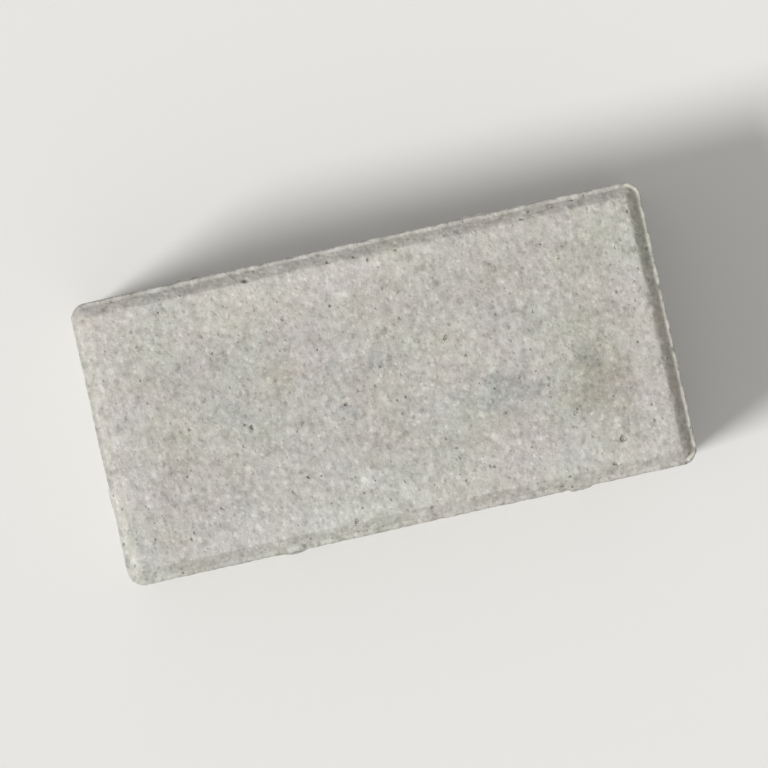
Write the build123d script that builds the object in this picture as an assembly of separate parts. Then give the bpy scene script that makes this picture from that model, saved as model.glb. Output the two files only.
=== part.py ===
from build123d import *

import math
import os

# Concrete paving stone, rectangular, with a bevelled wearing face.
# Millimetres, +Z up. The stone lies on its bed face, z = 0 is the bed,
# X runs along the long side, and the origin is the middle of the bed face.

# Body: a stone of the 200 x 100 laying module is 2 mm smaller than it each way
LENGTH = 198.0
WIDTH = 98.0
HEIGHT = 60.0
CORNER_RADIUS = 5.5

# Wearing face: a narrow flat ledge, then a bevel up to the top face
LEDGE_WIDTH = 1.5
BEVEL_WIDTH = 3.5
BEVEL_DEPTH = 3.0
ARRIS_RADIUS = 0.8

# Spacer nibs: upright ribs on the sides that set the laying gap
NIB_REACH = 1.5
NIB_FOOT_WIDTH = 10.0
NIB_FACE_WIDTH = 6.0
NIB_HEIGHT = 48.0
NIB_SLOPE_HEIGHT = 4.0
LONG_SIDE_NIBS = (-58.0, 42.0)
SHORT_SIDE_NIB = 18.0


def body():
    """The block as the mould box shapes it, up to the ledge."""
    outline = RectangleRounded(LENGTH, WIDTH, CORNER_RADIUS)
    return extrude(outline, HEIGHT - BEVEL_DEPTH)


def head():
    """The raised field that the tamper presses: bevelled all round, with a soft arris."""
    ledge_level = Plane.XY.offset(HEIGHT - BEVEL_DEPTH)
    foot = RectangleRounded(
        LENGTH - 2 * LEDGE_WIDTH,
        WIDTH - 2 * LEDGE_WIDTH,
        CORNER_RADIUS - LEDGE_WIDTH,
    )
    lean = math.degrees(math.atan2(BEVEL_WIDTH, BEVEL_DEPTH))
    field = extrude(ledge_level * foot, BEVEL_DEPTH, taper=lean)
    arris = field.faces().sort_by(Axis.Z)[-1].edges()
    return fillet(arris, ARRIS_RADIUS)


def nib():
    """One spacer nib that reaches along +Y from the plane y = 0. It is open to the
    bed, so that the stone slides down out of the mould, and sloped at its top."""
    foot = NIB_FOOT_WIDTH / 2
    face = NIB_FACE_WIDTH / 2
    root = -NIB_REACH
    plan = Polygon(
        (-foot, root),
        (foot, root),
        (foot, 0),
        (face, NIB_REACH),
        (-face, NIB_REACH),
        (-foot, 0),
        align=None,
    )
    side_view = Polygon(
        (root, 0),
        (NIB_REACH, 0),
        (NIB_REACH, NIB_HEIGHT - NIB_SLOPE_HEIGHT),
        (0, NIB_HEIGHT),
        (root, NIB_HEIGHT),
        align=None,
    )
    rib = extrude(plan, NIB_HEIGHT)
    return rib & extrude(Plane.YZ * side_view, foot, both=True)


def nib_places():
    """Two nibs on each long side and one on each short side. Each side's nibs are
    the opposite side's turned by half a turn, so that they stand across from
    plain wall and never meet a like stone's nibs."""
    places = []
    for turn in (0, 180):
        for along in LONG_SIDE_NIBS:
            places.append(Rot(0, 0, turn) * Pos(along, WIDTH / 2, 0))
        short_side = Pos(LENGTH / 2, SHORT_SIDE_NIB, 0) * Rot(0, 0, -90)
        places.append(Rot(0, 0, turn) * short_side)
    return places


paving_stone = body() + head()
for place in nib_places():
    paving_stone += place * nib()

os.makedirs("parts", exist_ok=True)
export_step(paving_stone, "parts/paving_stone.step")
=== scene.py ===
import math

import bpy
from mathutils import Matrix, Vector


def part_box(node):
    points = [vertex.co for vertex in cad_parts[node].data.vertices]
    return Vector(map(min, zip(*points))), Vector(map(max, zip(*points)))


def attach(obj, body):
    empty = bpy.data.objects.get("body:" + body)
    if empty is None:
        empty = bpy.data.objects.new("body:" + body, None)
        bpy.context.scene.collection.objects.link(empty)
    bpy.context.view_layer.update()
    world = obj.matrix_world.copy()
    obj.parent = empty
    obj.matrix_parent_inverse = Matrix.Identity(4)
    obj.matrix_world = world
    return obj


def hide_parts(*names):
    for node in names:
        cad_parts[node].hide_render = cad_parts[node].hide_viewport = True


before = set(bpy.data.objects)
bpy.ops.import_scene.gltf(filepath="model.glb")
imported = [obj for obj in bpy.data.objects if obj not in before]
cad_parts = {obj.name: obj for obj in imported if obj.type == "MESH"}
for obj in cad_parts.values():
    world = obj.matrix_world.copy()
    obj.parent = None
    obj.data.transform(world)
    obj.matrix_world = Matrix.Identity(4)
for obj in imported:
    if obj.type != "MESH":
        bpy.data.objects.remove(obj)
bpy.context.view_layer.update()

# Paving stone
# One block of grey cement, sand and fine grit, mixed earth-dry, shaken into a steel mould
# box and squeezed by a bevelled tamper. The mould is drawn up off the fresh stone, which
# leaves drag marks on its sides and its spacer nibs. Nothing fixes it: it lies loose.

MM = 0.001
stone_low, stone_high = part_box("paving_stone")
nib_reach = 1.5 * MM
length = stone_high.x - stone_low.x - 2 * nib_reach
width = stone_high.y - stone_low.y - 2 * nib_reach
height = stone_high.z - stone_low.z
skin = 0.35 * MM


def add(tree, kind, inputs=None, **settings):
    """Adds a node to a tree, with its settings, and with a value, a socket or a
    node's first output on each named or numbered input."""
    node = tree.nodes.new(kind)
    for name, value in settings.items():
        setattr(node, name, value)
    for key, value in (inputs or {}).items():
        if isinstance(key, str):
            socket = next(s for s in node.inputs if s.enabled and s.name == key)
        else:
            socket = node.inputs[key]
        if isinstance(value, bpy.types.Node):
            value = next(s for s in value.outputs if s.enabled)
        if isinstance(value, bpy.types.NodeSocket):
            tree.links.new(value, socket)
        else:
            socket.default_value = value
    return node


# The mould's sizes, and how closely the surface is followed. The top, the bed and the
# nibs lie back by the skin that their relief takes. The rows are close together near an
# edge, where the ledge, the bevel and the rounding lie.
mould_sizes = {
    "Length": length,
    "Width": width,
    "Height": height - skin,
    "Bed Level": skin,
    "Corner Radius": 5.5 * MM,
    "Ledge Width": 1.5 * MM,
    "Bevel Width": 3.5 * MM,
    "Bevel Depth": 3.0 * MM,
    "Arris Rounding": 0.7 * MM,
    "Nib Reach": nib_reach - skin,
    "Nib Foot Width": 10.0 * MM,
    "Nib Face Width": 6.0 * MM,
    "Nib Height": 48.0 * MM,
    "Nib Slope Height": 4.0 * MM,
    "First Long Nib": -58.0 * MM,
    "Second Long Nib": 42.0 * MM,
    "Short Nib": 18.0 * MM,
    "Edge Step": 0.5 * MM,
    "Wide Step": 0.8 * MM,
    "Side Edge Step": 0.4 * MM,
    "Side Step": 0.78 * MM,
}
EDGE_ROWS = 11
SIDE_EDGE_ROWS = 4

mould = bpy.data.node_groups.new("moulded stone", "GeometryNodeTree")
mould.is_modifier = True
socket_of = {}
for name, value in mould_sizes.items():
    socket = mould.interface.new_socket(name, in_out="INPUT", socket_type="NodeSocketFloat")
    socket.default_value = value
    socket_of[name] = socket.identifier
mould.interface.new_socket("Stone", in_out="OUTPUT", socket_type="NodeSocketGeometry")
size = mould.nodes.new("NodeGroupInput").outputs

MATH = "ShaderNodeMath"
VECTOR = "ShaderNodeVectorMath"
RANGE = "ShaderNodeMapRange"
NOISE = "ShaderNodeTexNoise"
VORONOI = "ShaderNodeTexVoronoi"


def rows_for(run, edge_rows, edge_step, wide_step):
    """How many rows a run takes: the close ones at both ends and the wide ones between,
    which come to an even number."""
    close = add(mould, MATH, {0: edge_step, 1: 2.0 * edge_rows}, operation="MULTIPLY")
    between = add(mould, MATH, {0: run, 1: close}, operation="SUBTRACT")
    wide = add(mould, MATH, {0: between, 1: wide_step}, operation="DIVIDE")
    even = add(mould, MATH, {0: wide, 1: 2.0}, operation="SNAP")
    return add(mould, MATH, {0: even, 1: 2.0 * edge_rows}, operation="ADD")


def spread(share, rows, run, edge_rows, edge_step):
    """Where a row lies along its run, measured from the middle, and how far it is
    from the nearer end. share runs evenly from -0.5 to 0.5."""
    half_run = add(mould, MATH, {0: run, 1: 0.5}, operation="MULTIPLY")
    half_rows = add(mould, MATH, {0: rows, 1: 0.5}, operation="MULTIPLY")
    edge = add(mould, MATH, {0: edge_step, 1: float(edge_rows)}, operation="MULTIPLY")
    inner = add(mould, MATH, {0: half_run, 1: edge}, operation="SUBTRACT")
    off_middle = add(mould, MATH, {0: share}, operation="ABSOLUTE")
    left = add(mould, MATH, {0: 0.5, 1: off_middle}, operation="SUBTRACT")
    count = add(mould, MATH, {0: left, 1: rows}, operation="MULTIPLY")
    close = add(mould, RANGE, {"Value": count, "From Max": float(edge_rows), "To Max": edge})
    wide = add(
        mould,
        RANGE,
        {"Value": count, "From Min": float(edge_rows), "From Max": half_rows, "To Max": inner},
    )
    from_end = add(mould, MATH, {0: close, 1: wide}, operation="ADD")
    from_middle = add(mould, MATH, {0: half_run, 1: from_end}, operation="SUBTRACT")
    side = add(mould, MATH, {0: share}, operation="SIGN")
    return add(mould, MATH, {0: from_middle, 1: side}, operation="MULTIPLY"), from_end


# A cube of even rows, which is then pressed into the stone's form
ledge_level = add(mould, MATH, {0: size["Height"], 1: size["Bevel Depth"]}, operation="SUBTRACT")
rows_x = rows_for(size["Length"], EDGE_ROWS, size["Edge Step"], size["Wide Step"])
rows_y = rows_for(size["Width"], EDGE_ROWS, size["Edge Step"], size["Wide Step"])
wall_run = add(mould, MATH, {0: ledge_level, 1: size["Bed Level"]}, operation="SUBTRACT")
rows_z = rows_for(wall_run, SIDE_EDGE_ROWS, size["Side Edge Step"], size["Side Step"])
block = add(mould, "GeometryNodeMeshCube", {"Size": (1.0, 1.0, 1.0)})
for axis, rows in (("X", rows_x), ("Y", rows_y), ("Z", rows_z)):
    vertices = add(mould, MATH, {0: rows, 1: 1.0}, operation="ADD")
    mould.links.new(vertices.outputs[0], block.inputs[f"Vertices {axis}"])

share = add(mould, "ShaderNodeSeparateXYZ", {0: add(mould, "GeometryNodeInputPosition")}).outputs
x, from_end_x = spread(share["X"], rows_x, size["Length"], EDGE_ROWS, size["Edge Step"])
y, from_end_y = spread(share["Y"], rows_y, size["Width"], EDGE_ROWS, size["Edge Step"])
z, _ = spread(share["Z"], rows_z, wall_run, SIDE_EDGE_ROWS, size["Side Edge Step"])
half_level = add(mould, MATH, {0: wall_run, 1: 0.5, 2: size["Bed Level"]}, operation="MULTIPLY_ADD")
z = add(mould, MATH, {0: z, 1: half_level}, operation="ADD")
inset = add(mould, MATH, {0: from_end_x, 1: from_end_y}, operation="MINIMUM")

# The tamper's shape: flat ledge, bevel, soft arris, flat top. Only the cube's uppermost
# places, with a share of one half, are pressed by it.
JUST_BELOW_HALF = 0.4999
bevel_slope = add(mould, MATH, {0: size["Bevel Depth"], 1: size["Bevel Width"]}, operation="DIVIDE")
past_ledge = add(mould, MATH, {0: inset, 1: size["Ledge Width"]}, operation="SUBTRACT")
climb = add(mould, MATH, {0: past_ledge, 1: bevel_slope}, operation="MULTIPLY")
climb = add(mould, MATH, {0: climb, 1: 0.0}, operation="MAXIMUM")
rise = add(
    mould,
    MATH,
    {0: climb, 1: size["Bevel Depth"], 2: size["Arris Rounding"]},
    operation="SMOOTH_MIN",
)
uppermost = add(mould, MATH, {0: share["Z"], 1: JUST_BELOW_HALF}, operation="GREATER_THAN")
rise = add(mould, MATH, {0: rise, 1: uppermost}, operation="MULTIPLY")
z = add(mould, MATH, {0: z, 1: rise}, operation="ADD")

# The mould box's corners: square rings of rows become rings round the corner's centre
flat_place = add(mould, "ShaderNodeCombineXYZ", {"X": x, "Y": y})
flat_span = add(mould, "ShaderNodeCombineXYZ", {"X": size["Length"], "Y": size["Width"]})
half_span = add(mould, VECTOR, {0: flat_span, 3: 0.5}, operation="SCALE")
radius_span = add(
    mould, "ShaderNodeCombineXYZ", {"X": size["Corner Radius"], "Y": size["Corner Radius"]}
)
centre = add(mould, VECTOR, {0: half_span, 1: radius_span}, operation="SUBTRACT")
folded = add(mould, VECTOR, {0: flat_place}, operation="ABSOLUTE")
past_centre = add(mould, VECTOR, {0: folded, 1: centre}, operation="SUBTRACT")
past_centre = add(mould, VECTOR, {0: past_centre, 1: (0.0, 0.0, 0.0)}, operation="MAXIMUM")
past = add(mould, "ShaderNodeSeparateXYZ", {0: past_centre}).outputs
square = add(mould, MATH, {0: past["X"], 1: past["Y"]}, operation="MAXIMUM")
straight = add(mould, VECTOR, {0: past_centre}, operation="LENGTH")
pull = add(mould, MATH, {0: square, 1: straight.outputs["Value"]}, operation="DIVIDE")
pull = add(mould, MATH, {0: pull, 1: 1.0}, operation="SUBTRACT")
in_corner = add(mould, MATH, {0: straight.outputs["Value"], 1: 0.0}, operation="GREATER_THAN")
pull = add(mould, MATH, {0: pull, 1: in_corner}, operation="MULTIPLY")
shift = add(mould, VECTOR, {0: past_centre, 3: pull}, operation="SCALE")
rounded = add(mould, VECTOR, {0: folded, 1: shift}, operation="ADD")
flat_side = add(mould, VECTOR, {0: flat_place}, operation="SIGN")
rounded = add(mould, VECTOR, {0: rounded, 1: flat_side}, operation="MULTIPLY")
outward = add(mould, VECTOR, {0: past_centre}, operation="NORMALIZE")
outward = add(mould, VECTOR, {0: outward, 1: flat_side}, operation="MULTIPLY")


def nib_swell(along, across, from_end, centres):
    """How far the nibs of one pair of sides stand out at a place. The far side's nibs are
    the near side's turned by half a turn, so both sides share the same places."""
    half_foot = add(mould, MATH, {0: size["Nib Foot Width"], 1: 0.5}, operation="MULTIPLY")
    half_face = add(mould, MATH, {0: size["Nib Face Width"], 1: 0.5}, operation="MULTIPLY")
    side = add(mould, MATH, {0: across}, operation="SIGN")
    turned = add(mould, MATH, {0: along, 1: side}, operation="MULTIPLY")
    swell = 0.0
    for nib_centre in centres:
        off = add(mould, MATH, {0: turned, 1: size[nib_centre]}, operation="SUBTRACT")
        off = add(mould, MATH, {0: off}, operation="ABSOLUTE")
        flank = add(mould, RANGE, {"Value": off, "From Min": half_foot, "From Max": half_face})
        swell = add(mould, MATH, {0: flank, 1: swell}, operation="ADD")
    nib_top = size["Nib Height"]
    slope_foot = add(mould, MATH, {0: nib_top, 1: size["Nib Slope Height"]}, operation="SUBTRACT")
    slope = add(mould, RANGE, {"Value": z, "From Min": nib_top, "From Max": slope_foot})
    # The bed face's rows follow the nib for a short way in
    follow = {"Value": from_end, "From Min": size["Corner Radius"], "From Max": 0.0}
    follow = add(mould, RANGE, follow)
    for part in (slope, follow, size["Nib Reach"], side):
        swell = add(mould, MATH, {0: swell, 1: part}, operation="MULTIPLY")
    return swell


nib_x = nib_swell(y, x, from_end_x, ["Short Nib"])
nib_y = nib_swell(x, y, from_end_y, ["First Long Nib", "Second Long Nib"])
nib_and_level = add(mould, "ShaderNodeCombineXYZ", {"X": nib_x, "Y": nib_y, "Z": z})
cast_place = add(mould, VECTOR, {0: rounded, 1: nib_and_level}, operation="ADD")
# How far each place is from the outline, the way out for those near it, how far a place
# stands out on a nib, and how far it faces up are kept with it, because the relief and the
# finish below follow them
nib_out = add(mould, "ShaderNodeCombineXYZ", {"X": nib_x, "Y": nib_y})
nib_out = add(mould, VECTOR, {0: nib_out}, operation="LENGTH").outputs["Value"]
for name, value, kind in (
    ("inset", inset, "FLOAT"),
    ("outward", outward, "FLOAT_VECTOR"),
    ("nib_out", nib_out, "FLOAT"),
):
    block = add(
        mould,
        "GeometryNodeStoreNamedAttribute",
        {"Geometry": block, "Name": name, "Value": value},
        data_type=kind,
        domain="POINT",
    )
cast = add(mould, "GeometryNodeSetPosition", {"Geometry": block, "Position": cast_place})
normal = add(mould, "GeometryNodeInputNormal")
facing = add(mould, "ShaderNodeSeparateXYZ", {0: normal}).outputs["Z"]
cast = add(
    mould,
    "GeometryNodeStoreNamedAttribute",
    {"Geometry": cast, "Name": "facing", "Value": facing},
    data_type="FLOAT",
    domain="POINT",
)
facing = add(mould, "GeometryNodeInputNamedAttribute", {"Name": "facing"}, data_type="FLOAT")
inset = add(mould, "GeometryNodeInputNamedAttribute", {"Name": "inset"}, data_type="FLOAT")
outward = add(
    mould, "GeometryNodeInputNamedAttribute", {"Name": "outward"}, data_type="FLOAT_VECTOR"
)
nib_out = add(mould, "GeometryNodeInputNamedAttribute", {"Name": "nib_out"}, data_type="FLOAT")
place = add(mould, "GeometryNodeInputPosition")
level = add(mould, "ShaderNodeSeparateXYZ", {0: place}).outputs["Z"]
top = add(mould, RANGE, {"Value": facing, "From Min": 0.3, "From Max": 0.7})
bed = add(mould, RANGE, {"Value": facing, "From Min": -0.3, "From Max": -0.7})
wall = add(mould, MATH, {0: 1.0, 1: top}, operation="SUBTRACT")
wall = add(mould, MATH, {0: wall, 1: bed}, operation="SUBTRACT")


def by_face(top_amount, wall_amount, bed_amount):
    """A value that differs between the tamped top, the mould's sides and the bed."""
    value = 0.0
    for face, amount in ((top, top_amount), (wall, wall_amount), (bed, bed_amount)):
        value = add(mould, MATH, {0: face, 1: amount, 2: value}, operation="MULTIPLY_ADD")
    return value


# Voids: air pockets that the shaking left open at the surface, few and small under the
# tamper, more and larger where the mix touched the mould's sides and the board. The
# power makes most of them small.
VOID_SPACING = 2.4 * MM
VOIDS_PER_SQUARE_METRE = 9000.0
SMALLEST_VOID = 0.5 * MM
VOID_SIZE_POWER = 3.0
VOID_DEPTH_TO_RADIUS = 0.8
VOID_FLOOR_TO_RADIUS = 0.3
voids = add(
    mould,
    "GeometryNodeDistributePointsOnFaces",
    {
        "Mesh": cast,
        "Distance Min": VOID_SPACING,
        "Density Max": VOIDS_PER_SQUARE_METRE,
        "Density Factor": by_face(0.22, 1.0, 0.8),
        "Seed": 4,
    },
    distribute_method="POISSON",
).outputs["Points"]
draw = add(mould, "FunctionNodeRandomValue", {"Min": 0.0, "Max": 1.0, "Seed": 7}, data_type="FLOAT")
draw = add(mould, MATH, {0: draw, 1: VOID_SIZE_POWER}, operation="POWER")
spread_of_sizes = by_face(0.3 * MM, 0.9 * MM, 1.2 * MM)
void_size = {0: draw, 1: spread_of_sizes, 2: SMALLEST_VOID}
void_size = add(mould, MATH, void_size, operation="MULTIPLY_ADD")
void_sets = [(voids, void_size)]

# The larger pits of this stone's top, where grains came out: place from the middle and
# radius, in millimetres. Those at the far edge sit on the bevel and its arris.
top_pits = (
    (75.2, -35.8, 1.6),
    (-47.0, -4.7, 1.3),
    (-48.9, -3.4, 1.0),
    (-14.2, -4.0, 1.0),
    (23.6, 10.7, 1.2),
    (70.7, -43.6, 1.0),
    (-38.1, 45.2, 2.0),
    (-9.6, 44.9, 1.6),
    (-0.6, 45.0, 1.4),
    (13.6, 43.4, 0.9),
    (58.0, 45.0, 1.6),
    (80.1, -47.4, 1.6),
    (-67.5, -0.5, 1.1),
    (-75.0, -37.5, 0.9),
)
for pit_x, pit_y, pit_radius in top_pits:
    pit_place = (pit_x * MM, pit_y * MM, height)
    pit = add(mould, "GeometryNodePoints", {"Count": 1, "Position": pit_place})
    void_sets.append((pit, pit_radius * MM))
all_voids = mould.nodes.new("GeometryNodeJoinGeometry")
for points, radius in void_sets:
    sized = add(
        mould,
        "GeometryNodeStoreNamedAttribute",
        {"Geometry": points, "Name": "radius", "Value": radius},
        data_type="FLOAT",
        domain="POINT",
    )
    mould.links.new(sized.outputs[0], all_voids.inputs[0])

# Each void is read from a place a little off, so that its rim runs round the grains
RIM_GRAIN = 1.3 * MM
RIM_SHIFT = 1.6 * MM
HALF = (0.5, 0.5, 0.5)
ragged = add(mould, NOISE, {"Vector": place, "Scale": 1 / RIM_GRAIN, "Detail": 1.0})
ragged = add(mould, VECTOR, {0: ragged.outputs["Color"], 1: HALF}, operation="SUBTRACT")
ragged = add(mould, VECTOR, {0: ragged, 3: RIM_SHIFT}, operation="SCALE")
near = add(mould, VECTOR, {0: place, 1: ragged}, operation="ADD")
nearest = add(
    mould,
    "GeometryNodeSampleNearest",
    {"Geometry": all_voids, "Sample Position": near},
    domain="POINT",
)
void_place = add(
    mould,
    "GeometryNodeSampleIndex",
    {"Geometry": all_voids, "Value": place, "Index": nearest},
    data_type="FLOAT_VECTOR",
    domain="POINT",
)
kept_radius = add(mould, "GeometryNodeInputNamedAttribute", {"Name": "radius"}, data_type="FLOAT")
void_radius = add(
    mould,
    "GeometryNodeSampleIndex",
    {"Geometry": all_voids, "Value": kept_radius, "Index": nearest},
    data_type="FLOAT",
    domain="POINT",
)
off_void = add(mould, VECTOR, {0: near, 1: void_place}, operation="DISTANCE").outputs["Value"]
void_floor = {0: void_radius, 1: VOID_FLOOR_TO_RADIUS}
void_floor = add(mould, MATH, void_floor, operation="MULTIPLY")
void = {"Value": off_void, "From Min": void_radius, "From Max": void_floor}
void = add(mould, RANGE, void, interpolation_type="SMOOTHSTEP")
void_depth = add(mould, MATH, {0: void_radius, 1: void}, operation="MULTIPLY")
void_depth = {0: void_depth, 1: VOID_DEPTH_TO_RADIUS}
void_depth = add(mould, MATH, void_depth, operation="MULTIPLY")

# Open texture: gaps between the grains that the cement didn't fill, in patches, on the
# sides and the bed. Under the tamper the skin is closed.
OPEN_PATCH_SIZE = 16.0 * MM
GAP_SIZE = 3.0 * MM
GAP_DEPTH = 0.9 * MM
open_patch = add(mould, NOISE, {"Vector": place, "Scale": 1 / OPEN_PATCH_SIZE, "Detail": 1.0})
open_patch = add(mould, RANGE, {"Value": open_patch, "From Min": 0.35, "From Max": 0.65})
gap = add(mould, NOISE, {"Vector": place, "Scale": 1 / GAP_SIZE, "Detail": 2.0})
gap = add(mould, RANGE, {"Value": gap, "From Min": 0.54, "From Max": 0.72})
gap = add(mould, MATH, {0: gap, 1: open_patch}, operation="MULTIPLY")
gap = add(mould, MATH, {0: gap, 1: by_face(0.0, 1.0, 1.0)}, operation="MULTIPLY")
relief = add(mould, MATH, {0: gap, 1: GAP_DEPTH, 2: void_depth}, operation="MULTIPLY_ADD")
hollow = add(mould, MATH, {0: gap, 1: void}, operation="MAXIMUM")

# Relief that covers the stone: sand just under the skin, lumps where the mix was drier,
# the slow swell of a pressed face, and upright drag marks on the sides only. Each has its
# size, how much finer detail it carries, and its depth on the top, the sides and the bed.
DRAG_STRETCH = (1.0, 1.0, 0.16)
drawn_up = add(mould, VECTOR, {0: place, 1: DRAG_STRETCH}, operation="MULTIPLY")
for at, grain, detail, depth in (
    (place, 2.4 * MM, 1.0, by_face(0.40 * MM, 0.60 * MM, 0.50 * MM)),
    (place, 6.0 * MM, 1.0, by_face(0.12 * MM, 0.40 * MM, 0.50 * MM)),
    (place, 40.0 * MM, 0.0, by_face(0.20 * MM, 0.30 * MM, 0.10 * MM)),
    (drawn_up, 2.0 * MM, 2.0, by_face(0.0, 0.24 * MM, 0.0)),
):
    marks = add(mould, NOISE, {"Vector": at, "Scale": 1 / grain, "Detail": detail})
    marks = add(mould, MATH, {0: marks, 1: 0.5}, operation="SUBTRACT")
    relief = add(mould, MATH, {0: marks, 1: depth, 2: relief}, operation="MULTIPLY_ADD")

# The nibs scrape along the mould as it is drawn off, and lose grains
SCRAPE_SIZE = 3.5 * MM
SCRAPE_DEPTH = 0.55 * MM
nib_loss = add(mould, MATH, {0: nib_out, 1: size["Nib Reach"]}, operation="DIVIDE")
scraped = add(mould, NOISE, {"Vector": place, "Scale": 1 / SCRAPE_SIZE, "Detail": 1.0})
scraped = add(mould, RANGE, {"Value": scraped, "From Min": 0.42, "From Max": 0.72})
nib_loss = add(mould, MATH, {0: nib_loss, 1: scraped}, operation="MULTIPLY")
relief = add(mould, MATH, {0: nib_loss, 1: SCRAPE_DEPTH, 2: relief}, operation="MULTIPLY_ADD")

# The arris of the bevel loses single grains
LOST_GRAIN = 3.2 * MM
ARRIS_REACH = 0.9 * MM
ARRIS_LOSS = 0.35 * MM
arris_inset = add(mould, MATH, {0: size["Ledge Width"], 1: size["Bevel Width"]}, operation="ADD")
off_arris = add(mould, MATH, {0: inset, 1: arris_inset}, operation="SUBTRACT")
off_arris = add(mould, MATH, {0: off_arris}, operation="ABSOLUTE")
at_arris = add(mould, RANGE, {"Value": off_arris, "From Min": ARRIS_REACH, "From Max": 0.0})
at_arris = add(mould, MATH, {0: at_arris, 1: top}, operation="MULTIPLY")
lost = add(mould, NOISE, {"Vector": place, "Scale": 1 / LOST_GRAIN, "Detail": 2.0})
lost = add(mould, RANGE, {"Value": lost, "From Min": 0.35, "From Max": 0.8})
arris_loss = add(mould, MATH, {0: lost, 1: at_arris}, operation="MULTIPLY")
relief = add(mould, MATH, {0: arris_loss, 1: ARRIS_LOSS, 2: relief}, operation="MULTIPLY_ADD")

# The outer rims, above and below, lose grains and small chips too. They go back aslant,
# inwards and away from the rim, and the relief is shallower there.
SHALLOW_REACH = 2.5 * MM
RIM_REACH = 2.6 * MM
RIM_LOSS = 0.55 * MM
CHIP_SIZE = 7.0 * MM
CHIP_DEPTH = 0.75 * MM
below_ledge = add(mould, MATH, {0: ledge_level, 1: level}, operation="SUBTRACT")
above_bed = add(mould, MATH, {0: level, 1: size["Bed Level"]}, operation="SUBTRACT")
from_rim = add(mould, MATH, {0: below_ledge, 1: above_bed}, operation="MINIMUM")
from_rim = add(mould, MATH, {0: from_rim, 1: inset}, operation="MAXIMUM")
shallow = {"Value": from_rim, "From Max": SHALLOW_REACH, "To Min": 0.4, "To Max": 1.0}
relief = add(mould, MATH, {0: relief, 1: add(mould, RANGE, shallow)}, operation="MULTIPLY")
at_rim = {"Value": from_rim, "From Min": RIM_REACH, "From Max": 0.0}
at_rim = add(mould, RANGE, at_rim, interpolation_type="SMOOTHSTEP")
chipped = add(mould, NOISE, {"Vector": place, "Scale": 1 / CHIP_SIZE, "Detail": 2.0})
chipped = add(mould, RANGE, {"Value": chipped, "From Min": 0.58, "From Max": 0.70})
rim_loss = add(mould, MATH, {0: lost, 1: RIM_LOSS}, operation="MULTIPLY")
rim_loss = add(mould, MATH, {0: chipped, 1: CHIP_DEPTH, 2: rim_loss}, operation="MULTIPLY_ADD")
rim_loss = add(mould, MATH, {0: rim_loss, 1: at_rim}, operation="MULTIPLY")
rim_loss = add(mould, MATH, {0: rim_loss, 1: -1.0}, operation="MULTIPLY")
above = add(mould, MATH, {0: level, 1: half_level}, operation="SUBTRACT")
above = add(mould, MATH, {0: above}, operation="SIGN")
above = add(mould, "ShaderNodeCombineXYZ", {"Z": above})
aslant = add(mould, VECTOR, {0: outward, 1: above}, operation="ADD")
aslant = add(mould, VECTOR, {0: aslant, 3: rim_loss}, operation="SCALE")

for name, value in (("hollow", hollow), ("bed", bed)):
    cast = add(
        mould,
        "GeometryNodeStoreNamedAttribute",
        {"Geometry": cast, "Name": name, "Value": value},
        data_type="FLOAT",
        domain="POINT",
    )
inwards = add(mould, MATH, {0: relief, 1: -1.0}, operation="MULTIPLY")
offset = add(mould, VECTOR, {0: normal, 3: inwards}, operation="SCALE")
offset = add(mould, VECTOR, {0: offset, 1: aslant}, operation="ADD")
worn = add(mould, "GeometryNodeSetPosition", {"Geometry": cast, "Offset": offset})
smooth = add(mould, "GeometryNodeSetShadeSmooth", {"Geometry": worn})
realized = add(mould, "GeometryNodeRealizeInstances", {"Geometry": smooth})

# Plain grey cement concrete as it left the mould: fine sand in a light grey cement
# skin, matt and dry. The eye sees a warm grey with a close speckle and no shine.


def linear(hex_colour):
    """A colour written as sRGB hex, as Blender's linear values."""
    parts = [int(hex_colour[i : i + 2], 16) / 255 for i in (1, 3, 5)]
    return [c / 12.92 if c <= 0.04045 else ((c + 0.055) / 1.055) ** 2.4 for c in parts] + [1.0]


concrete = bpy.data.materials.new("pressed_grey_concrete")
concrete.use_nodes = True
mix = concrete.node_tree
finish = mix.nodes["Principled BSDF"]
finish.inputs["IOR"].default_value = 1.5

# Where a place is, and what the mesh says of it: how far it is from the outline, how far
# it faces up, and how hollow it is
spot = add(mix, "ShaderNodeTexCoord").outputs["Object"]
inset = add(mix, "ShaderNodeAttribute", attribute_name="inset").outputs["Fac"]
facing = add(mix, "ShaderNodeAttribute", attribute_name="facing").outputs["Fac"]
hollow = add(mix, "ShaderNodeAttribute", attribute_name="hollow").outputs["Fac"]
on_top = add(mix, RANGE, {"Value": facing, "From Min": 0.9, "From Max": 0.98})
on_wall = add(mix, RANGE, {"Value": facing, "From Min": 0.5, "From Max": 0.2})

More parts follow.
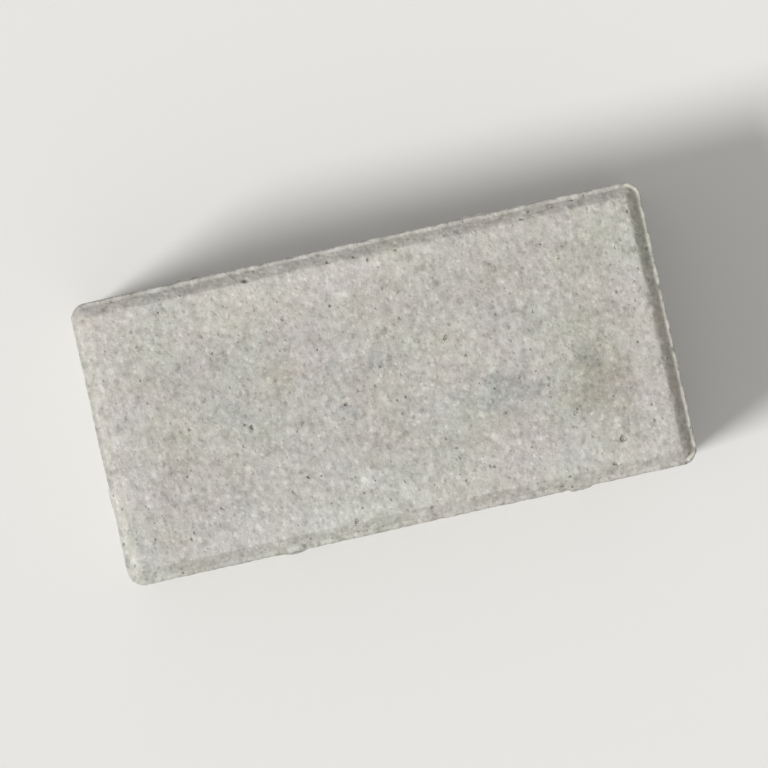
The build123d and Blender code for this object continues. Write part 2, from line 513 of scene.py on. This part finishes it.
# Every layer below adds its share of three things: how pale, how warm and how green the
# place is. Sand of mixed sizes comes first, each grain in its own shade and with a frayed
# outline. Sizes are the grains' real ones, from fine sand to grit. Each size has its
# shares and its height, as a part of its width.
PLAIN_SHADE = (0.985, 0.5, 0.52)
FRAY = 0.9 * MM
ragged = add(mix, NOISE, {"Vector": spot, "Scale": 1 / FRAY, "Detail": 1.0})
frayed = add(mix, VECTOR, {0: ragged.outputs["Color"], 1: HALF}, operation="SUBTRACT")
frayed = add(mix, VECTOR, {0: frayed, 3: FRAY}, operation="SCALE")
frayed = add(mix, VECTOR, {0: spot, 1: frayed}, operation="ADD")
shade = PLAIN_SHADE
stand = 0.0
for grain, shares, height_share in (
    (0.9 * MM, (0.30, 0.12, 0.18), 0.05),
    (1.8 * MM, (0.36, 0.15, 0.26), 0.05),
    (3.4 * MM, (0.30, 0.17, 0.28), 0.03),
):
    grains = add(mix, VORONOI, {"Vector": frayed, "Scale": 1 / grain}, feature="F1")
    centred = add(mix, VECTOR, {0: grains.outputs["Color"], 1: HALF}, operation="SUBTRACT")
    from_core = grains.outputs["Distance"]
    core = {"Value": from_core, "From Min": 0.48, "From Max": 0.28}
    core = add(mix, RANGE, core, interpolation_type="SMOOTHSTEP")
    dome = {"Value": from_core, "From Min": 0.55, "From Max": 0.0}
    dome = add(mix, RANGE, dome, interpolation_type="SMOOTHSTEP")
    grain_height = grain * height_share
    stand = add(mix, MATH, {0: dome, 1: grain_height, 2: stand}, operation="MULTIPLY_ADD")
    own = add(mix, VECTOR, {0: centred, 3: core}, operation="SCALE")
    shade = add(mix, VECTOR, {0: own, 1: shares, 2: shade}, operation="MULTIPLY_ADD")

# Cement skin: cloudy where it lies thick or thin over the sand, and in broad patches
# where the stone dried unevenly. Each cloud has its size, how much finer detail it carries,
# and its shares.
CLOUD_ROUGHNESS = 0.65
for patch, detail, shares in (
    (2.6 * MM, 1.0, (0.48, 0.12, 0.24)),
    (5.5 * MM, 3.0, (0.56, 0.20, 0.28)),
    (22.0 * MM, 2.0, (0.16, 0.42, 0.75)),
    (60.0 * MM, 1.0, (0.12, 0.18, 0.36)),
):
    cloud = {
        "Vector": spot,
        "Scale": 1 / patch,
        "Detail": detail,
        "Roughness": CLOUD_ROUGHNESS,
    }
    cloud = add(mix, NOISE, cloud).outputs["Color"]
    centred = add(mix, VECTOR, {0: cloud, 1: HALF}, operation="SUBTRACT")
    shade = add(mix, VECTOR, {0: centred, 1: shares, 2: shade}, operation="MULTIPLY_ADD")

# Upright smears of cement on the sides, from the drawn mould
SMEAR_WIDTH = 2.6 * MM
SMEAR_STRETCH = (1.0, 1.0, 0.12)
SMEAR_SHARES = (0.36, 0.0, 0.0)
drawn_up = add(mix, VECTOR, {0: spot, 1: SMEAR_STRETCH}, operation="MULTIPLY")
smear = add(mix, NOISE, {"Vector": drawn_up, "Scale": 1 / SMEAR_WIDTH, "Detail": 2.0})
smear = add(mix, MATH, {0: smear, 1: 0.5}, operation="SUBTRACT")
smear = add(mix, MATH, {0: smear, 1: on_wall}, operation="MULTIPLY")
shade = add(mix, VECTOR, {0: smear, 1: SMEAR_SHARES, 2: shade}, operation="MULTIPLY_ADD")

# Single dark grains and open pores, more of them where the mould's sides were, both sunk
# in and darker, which is partly their own colour and partly painted shade in the pits, and
# single pale quartz grains: spacing, share of the places left empty, radius, change, depth,
# the places that have them, and a shift that sets the kinds apart. A place left empty has a
# dot of next to no size.
EMPTY_DOT = 0.0001
FAINTEST_DOT = 0.3
for spacing, empty, radius, change, depth, places_with, shift in (
    (3.2 * MM, 0.35, 1.00 * MM, -0.36, 0.5 * MM, 1.0, 0.3),
    (2.6 * MM, 0.20, 0.80 * MM, -0.38, 0.6 * MM, on_wall, 0.5),
    (3.4 * MM, 0.35, 0.85 * MM, 0.30, 0.0, 1.0, 0.7),
):
    shifted = add(mix, VECTOR, {0: frayed, 1: (shift, shift, shift)}, operation="ADD")
    places = add(mix, VORONOI, {"Vector": shifted, "Scale": 1 / spacing}, feature="F1")
    draws = add(mix, "ShaderNodeSeparateColor", {0: places.outputs["Color"]}).outputs
    widest = radius / spacing
    reach = {"Value": draws["Red"], "From Min": empty, "To Min": EMPTY_DOT, "To Max": widest}
    reach = add(mix, RANGE, reach)
    dot = {"Value": places.outputs["Distance"], "From Min": reach, "From Max": 0.0}
    dot = add(mix, RANGE, dot, interpolation_type="SMOOTHSTEP")
    strength = {"Value": draws["Green"], "To Min": FAINTEST_DOT, "To Max": 1.0}
    strength = add(mix, RANGE, strength)
    dot = add(mix, MATH, {0: dot, 1: strength}, operation="MULTIPLY")
    dot = add(mix, MATH, {0: dot, 1: places_with}, operation="MULTIPLY")
    # A dark dot's darkening is partly painted shade in its pit
    shade = add(mix, VECTOR, {0: dot, 1: (change, 0.0, 0.0), 2: shade}, operation="MULTIPLY_ADD")
    stand = add(mix, MATH, {0: dot, 1: -depth, 2: stand}, operation="MULTIPLY_ADD")

# This stone's own marks: a bluish streak and a brown smudge near the right end, fainter
# cool, warm and pale patches elsewhere, and last three broad ones. Each has its place from
# the middle, its half length and half width in millimetres, and its change in paleness,
# warmth and green. Their outlines wander.
WANDER_SIZE = 9.0 * MM
WANDER_REACH = 16.0 * MM
wander = add(mix, NOISE, {"Vector": spot, "Scale": 1 / WANDER_SIZE, "Detail": 3.0})
wander = add(mix, VECTOR, {0: wander.outputs["Color"], 1: HALF}, operation="SUBTRACT")
wander = add(mix, VECTOR, {0: wander, 3: WANDER_REACH}, operation="SCALE")
wandered = add(mix, VECTOR, {0: spot, 1: wander}, operation="ADD")
top_marks = (
    (39.0, -12.0, 26.0, 11.0, (-0.13, -0.22, -0.02)),
    (41.0, -9.0, 9.0, 5.0, (-0.16, 0.0, -0.03)),
    (54.0, -12.0, 8.0, 4.0, (-0.08, -0.05, 0.0)),
    (72.5, -13.5, 18.0, 20.0, (-0.17, 0.14, 0.06)),
    (69.5, -5.5, 9.0, 7.0, (-0.12, -0.22, 0.05)),
    (66.5, -20.5, 9.0, 8.0, (-0.12, 0.10, 0.04)),
    (41.0, 6.0, 9.0, 7.0, (0.09, 0.0, -0.06)),
    (-52.0, 2.0, 11.0, 9.0, (-0.07, -0.16, 0.0)),
    (-14.0, -5.0, 8.0, 6.0, (-0.13, -0.20, 0.0)),
    (0.0, 8.0, 7.0, 6.0, (-0.07, -0.12, 0.0)),
    (-34.0, 10.0, 11.0, 9.0, (-0.07, 0.10, -0.04)),
    (-74.5, -10.0, 10.0, 12.0, (-0.09, 0.12, 0.0)),
    (43.0, 26.5, 11.0, 8.0, (-0.11, 0.08, 0.06)),
    (-12.0, -29.5, 6.0, 5.0, (0.23, -0.04, 0.06)),
    (57.0, -37.0, 10.0, 7.0, (-0.02, -0.20, -0.02)),
    (-92.0, -39.0, 8.0, 10.0, (-0.06, -0.16, -0.10)),
    (-45.0, 38.0, 70.0, 20.0, (0.06, 0.04, 0.0)),
    (-25.0, -38.0, 100.0, 20.0, (0.07, -0.04, 0.0)),
    (84.0, 4.0, 44.0, 44.0, (-0.03, 0.08, 0.0)),
)
for mark_x, mark_y, half_length, half_width, change in top_marks:
    middle = (mark_x * MM, mark_y * MM, 0.0)
    span = (1 / (half_length * MM), 1 / (half_width * MM), 0.0)
    off = add(mix, VECTOR, {0: wandered, 1: middle}, operation="SUBTRACT")
    off = add(mix, VECTOR, {0: off, 1: span}, operation="MULTIPLY")
    off = add(mix, VECTOR, {0: off}, operation="LENGTH").outputs["Value"]
    mark = {"Value": off, "From Min": 1.0, "From Max": 0.0, "To Max": on_top}
    mark = add(mix, RANGE, mark, interpolation_type="SMOOTHSTEP")
    shade = add(mix, VECTOR, {0: mark, 1: change, 2: shade}, operation="MULTIPLY_ADD")

# The right end's bevel is darker and warmer, and its ledge is painted paler: painted
# light where the bevel's shadow falls on that ledge
RIGHT_BEVEL_SHARES = (-0.06, 0.19, 0.05)
LEDGE_LIGHT_SHARES = (0.24, 0.12, 0.04)
along = add(mix, "ShaderNodeSeparateXYZ", {0: spot}).outputs["X"]
from_end = add(mix, MATH, {0: length / 2, 1: along}, operation="SUBTRACT")
right_end = add(mix, RANGE, {"Value": from_end, "From Min": 6.0 * MM, "From Max": 3.5 * MM})
inside_ledge = add(mix, RANGE, {"Value": inset, "From Min": 1.4 * MM, "From Max": 2.0 * MM})
# Darker and warmer on the right end's bevel
right_bevel = add(mix, MATH, {0: right_end, 1: inside_ledge}, operation="MULTIPLY")
shade = add(mix, VECTOR, {0: right_bevel, 1: RIGHT_BEVEL_SHARES, 2: shade}, operation="MULTIPLY_ADD")
# Painted light on the right end's ledge, which lies in the bevel's shadow
ledge_light = add(mix, MATH, {0: right_end, 1: right_bevel}, operation="SUBTRACT")
off_wall = add(mix, MATH, {0: 1.0, 1: on_wall}, operation="SUBTRACT")
ledge_light = add(mix, MATH, {0: ledge_light, 1: off_wall}, operation="MULTIPLY")
shade = add(mix, VECTOR, {0: ledge_light, 1: LEDGE_LIGHT_SHARES, 2: shade}, operation="MULTIPLY_ADD")

# The sides weather less than the top, and are more even in colour
SIDES_EVENED = 0.5
EVEN_HUE = 0.5
pale = add(mix, "ShaderNodeSeparateXYZ", {0: shade}).outputs["X"]
evened = add(mix, "ShaderNodeCombineXYZ", {"X": pale, "Y": EVEN_HUE, "Z": EVEN_HUE})
how_even = add(mix, MATH, {0: on_wall, 1: SIDES_EVENED}, operation="MULTIPLY")
shade = {"Factor": how_even, "A": shade, "B": evened}
shade = add(mix, "ShaderNodeMix", shade, data_type="VECTOR")
shade = add(mix, "ShaderNodeSeparateXYZ", {0: shade}).outputs

# Paler towards the arris, where the skin is rubbed clean. Painted shade makes the bevel,
# the sides and the bed a little darker, and the ledge too. Pits and gaps are dark, partly
# from brown dust in them and partly from painted shade, and every darker place is warmer.
RUBBED_PALER = 0.07
TILT_SHADE = 0.08
LEDGE_SHADE = 0.08
HOLLOW_DUST_AND_SHADE = 0.27
RAGGED_SHARE = 0.6
TORN_DEPTH = 0.5 * MM
WARMTH_WHEN_DARK = 0.20
near_arris = {
    "Value": inset,
    "From Min": 24.0 * MM,
    "From Max": 6.3 * MM,
    "To Max": RUBBED_PALER,
}
near_arris = add(mix, RANGE, near_arris, interpolation_type="SMOOTHSTEP")
near_arris = add(mix, MATH, {0: near_arris, 1: on_top}, operation="MULTIPLY")
# Painted shade: darker wherever the surface turns away from straight up, on the bevel, the sides
# and the bed
tilt_shade = {"Value": facing, "From Min": 1.0, "From Max": 0.85, "To Max": -TILT_SHADE}
tilt_shade = add(mix, RANGE, tilt_shade)
# Painted shade on the ledge, the low step at the outline
ledge_shade = {
    "Value": inset,
    "From Min": 1.8 * MM,
    "From Max": 1.2 * MM,
    "To Max": -LEDGE_SHADE,
}
ledge_shade = add(mix, RANGE, ledge_shade)
ledge_shade = add(mix, MATH, {0: ledge_shade, 1: on_top}, operation="MULTIPLY")
# Pits and gaps: darker partly from brown dust and partly from painted shade in the hollow
torn = add(mix, MATH, {0: ragged, 1: RAGGED_SHARE, 2: hollow}, operation="MULTIPLY_ADD")
torn = add(mix, RANGE, {"Value": torn, "From Min": 0.62, "From Max": 0.90})
stand = add(mix, MATH, {0: torn, 1: -TORN_DEPTH, 2: stand}, operation="MULTIPLY_ADD")
hollow_dust_and_shade = add(mix, MATH, {0: torn, 1: -HOLLOW_DUST_AND_SHADE}, operation="MULTIPLY")
for change in (near_arris, tilt_shade, ledge_shade, hollow_dust_and_shade):
    pale = add(mix, MATH, {0: pale, 1: change}, operation="ADD")
# How dark a place is, painted shade included: darker places are made warmer
darkness = add(mix, MATH, {0: 1.0, 1: pale}, operation="SUBTRACT")
warm = add(mix, MATH, {0: darkness, 1: WARMTH_WHEN_DARK, 2: shade["Y"]}, operation="MULTIPLY_ADD")

# The shade in colour: one pair of greys runs from cool to warm, one from rosy to green
COOL_GREY = linear("#B2BAC1")
WARM_GREY = linear("#C5B89F")
ROSY_GREY = linear("#C3B4B9")
GREEN_GREY = linear("#B3BDA9")
warm_hue = {"Factor": warm, "A": COOL_GREY, "B": WARM_GREY}
warm_hue = add(mix, "ShaderNodeMix", warm_hue, data_type="RGBA", clamp_factor=False)
green_hue = {"Factor": shade["Z"], "A": ROSY_GREY, "B": GREEN_GREY}
green_hue = add(mix, "ShaderNodeMix", green_hue, data_type="RGBA", clamp_factor=False)
colour = {"Factor": 0.5, "A": warm_hue, "B": green_hue}
colour = add(mix, "ShaderNodeMix", colour, data_type="RGBA")
colour = add(mix, VECTOR, {0: colour, 3: pale}, operation="SCALE")
mix.links.new(colour.outputs[0], finish.inputs["Base Color"])

# Matt, with a trace of gloss on the pale quartz grains
MATT = 0.97
QUARTZ = 0.80
roughness = {"Value": pale, "From Min": 0.8, "From Max": 1.3, "To Min": MATT, "To Max": QUARTZ}
roughness = add(mix, RANGE, roughness)
mix.links.new(roughness.outputs[0], finish.inputs["Roughness"])

# Relief too fine for the mesh, in metres: each grain stands out a little, the skin
# between them is uneven, and pores go in
for patch, detail, unevenness in ((2.2 * MM, 0.0, 0.22 * MM), (0.7 * MM, 1.0, 0.08 * MM)):
    uneven = add(mix, NOISE, {"Vector": spot, "Scale": 1 / patch, "Detail": detail})
    stand = add(mix, MATH, {0: uneven, 1: unevenness, 2: stand}, operation="MULTIPLY_ADD")
bump = add(mix, "ShaderNodeBump", {"Height": stand, "Distance": 1.0, "Strength": 1.0})
mix.links.new(bump.outputs[0], finish.inputs["Normal"])

set_finish = add(mould, "GeometryNodeSetMaterial", {"Geometry": realized, "Material": concrete})
out = mould.nodes.new("NodeGroupOutput")
mould.links.new(set_finish.outputs[0], out.inputs[0])

blank = bpy.data.meshes.new("blank")
blank.from_pydata([(0.0, 0.0, 0.0)], [], [])
rough_cast = bpy.data.objects.new("rough_cast", blank)
bpy.context.scene.collection.objects.link(rough_cast)
press = rough_cast.modifiers.new("mould", "NODES")
press.node_group = mould
for name, value in mould_sizes.items():
    press[socket_of[name]] = value
bpy.context.view_layer.update()


def as_plain_mesh(piece):
    """The piece's evaluated shape as a mesh with no modifiers."""
    evaluated = piece.evaluated_get(bpy.context.evaluated_depsgraph_get())
    return bpy.data.meshes.new_from_object(evaluated)


# The bed is hidden under the stone, so away from its rim it keeps fewer faces. The share
# of all faces that is kept leaves the piece under 200,000 triangles.
BED_RIM = 3.0 * MM
FLAT_BED = 0.99
FACES_KEPT = 0.79
full_mesh = as_plain_mesh(rough_cast)
kept_values = {}
for name in ("bed", "inset"):
    kept_values[name] = [0.0] * len(full_mesh.vertices)
    full_mesh.attributes[name].data.foreach_get("value", kept_values[name])
thinned = [
    vertex
    for vertex, (flat, off_edge) in enumerate(zip(*kept_values.values()))
    if flat > FLAT_BED and off_edge > BED_RIM
]
rough_cast.modifiers.remove(press)
rough_cast.data = full_mesh
bed_group = rough_cast.vertex_groups.new(name="bed")
bed_group.add(thinned, 1.0, "REPLACE")
thinner = rough_cast.modifiers.new("thinner", "DECIMATE")
thinner.ratio = FACES_KEPT
thinner.vertex_group = "bed"
thinner.use_collapse_triangulate = True
stone_mesh = as_plain_mesh(rough_cast)
bpy.data.objects.remove(rough_cast)
stone_mesh.materials.clear()
stone_mesh.materials.append(concrete)
stone_mesh.polygons.foreach_set("material_index", [0] * len(stone_mesh.polygons))
stone = bpy.data.objects.new("grey_paving_stone", stone_mesh)
bpy.context.scene.collection.objects.link(stone)

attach(stone, "root")
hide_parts("paving_stone")

# Floor, light and camera
# The photo looks straight down on the stone, which lies turned by about 13 degrees, in
# soft light that comes slantwise from its left end and from the sky all round.

STONE_TURN = math.radians(12.6)
VIEW_WIDTH = 260.0 * MM
CAMERA_HEIGHT = 1600.0 * MM
SENSOR_WIDTH = 36.0
PALE_GREY = "#E6E5E2"

FLOOR_REACH = 4.0
floor_corners = [
    (side_x * FLOOR_REACH, side_y * FLOOR_REACH, 0.0)
    for side_x, side_y in ((-1, -1), (1, -1), (1, 1), (-1, 1))
]
floor_mesh = bpy.data.meshes.new("floor")
floor_mesh.from_pydata(floor_corners, [], [(0, 1, 2, 3)])
floor = bpy.data.objects.new("floor", floor_mesh)
bpy.context.scene.collection.objects.link(floor)
floor_paint = bpy.data.materials.new("pale_floor")
floor_paint.use_nodes = True
paint = floor_paint.node_tree.nodes["Principled BSDF"]
paint.inputs["Base Color"].default_value = linear(PALE_GREY)
paint.inputs["Roughness"].default_value = 1.0
floor_mesh.materials.append(floor_paint)

# The sky and the slanting key light together come to full level on the stone's top. The
# camera and mirrors see a pale backdrop in place of the sky.
SKY_LEVEL = 0.464
KEY_LEVEL = 1.0 - SKY_LEVEL
KEY_ANGLE = math.radians(18.0)
world = bpy.data.worlds.new("sky")
bpy.context.scene.world = world
world.use_nodes = True
sky = world.node_tree
skylight = sky.nodes["Background"]
skylight.inputs["Color"].default_value = (1.0, 1.0, 1.0, 1.0)
skylight.inputs["Strength"].default_value = SKY_LEVEL
backdrop = add(sky, "ShaderNodeBackground", {"Color": linear(PALE_GREY), "Strength": 1.0})
ray = add(sky, "ShaderNodeLightPath").outputs
seen = ray["Is Camera Ray"]
for other in ("Is Glossy Ray", "Is Transmission Ray"):
    seen = add(sky, MATH, {0: seen, 1: ray[other]}, operation="MAXIMUM")
either = add(sky, "ShaderNodeMixShader", {0: seen, 1: skylight.outputs[0], 2: backdrop.outputs[0]})
sky.links.new(either.outputs[0], sky.nodes["World Output"].inputs["Surface"])

key_data = bpy.data.lights.new("key", "SUN")
key_data.angle = KEY_ANGLE
key = bpy.data.objects.new("key", key_data)
bpy.context.scene.collection.objects.link(key)
to_key = Vector((-0.626, -0.178, 0.536)).normalized()
key.rotation_mode = "QUATERNION"
key.rotation_quaternion = to_key.to_track_quat("Z", "Y")
key_data.energy = KEY_LEVEL * math.pi / to_key.z

camera_data = bpy.data.cameras.new("camera")
camera = bpy.data.objects.new("camera", camera_data)
bpy.context.scene.collection.objects.link(camera)
bpy.context.scene.camera = camera
camera_data.sensor_width = SENSOR_WIDTH
camera_data.lens = SENSOR_WIDTH * (CAMERA_HEIGHT - height) / VIEW_WIDTH
camera.location = (0.0, 0.0, CAMERA_HEIGHT)
camera.rotation_euler = (0.0, 0.0, -STONE_TURN)
camera_data.clip_start = 0.01
camera_data.clip_end = 100.0

bpy.context.scene.view_settings.view_transform = "Standard"
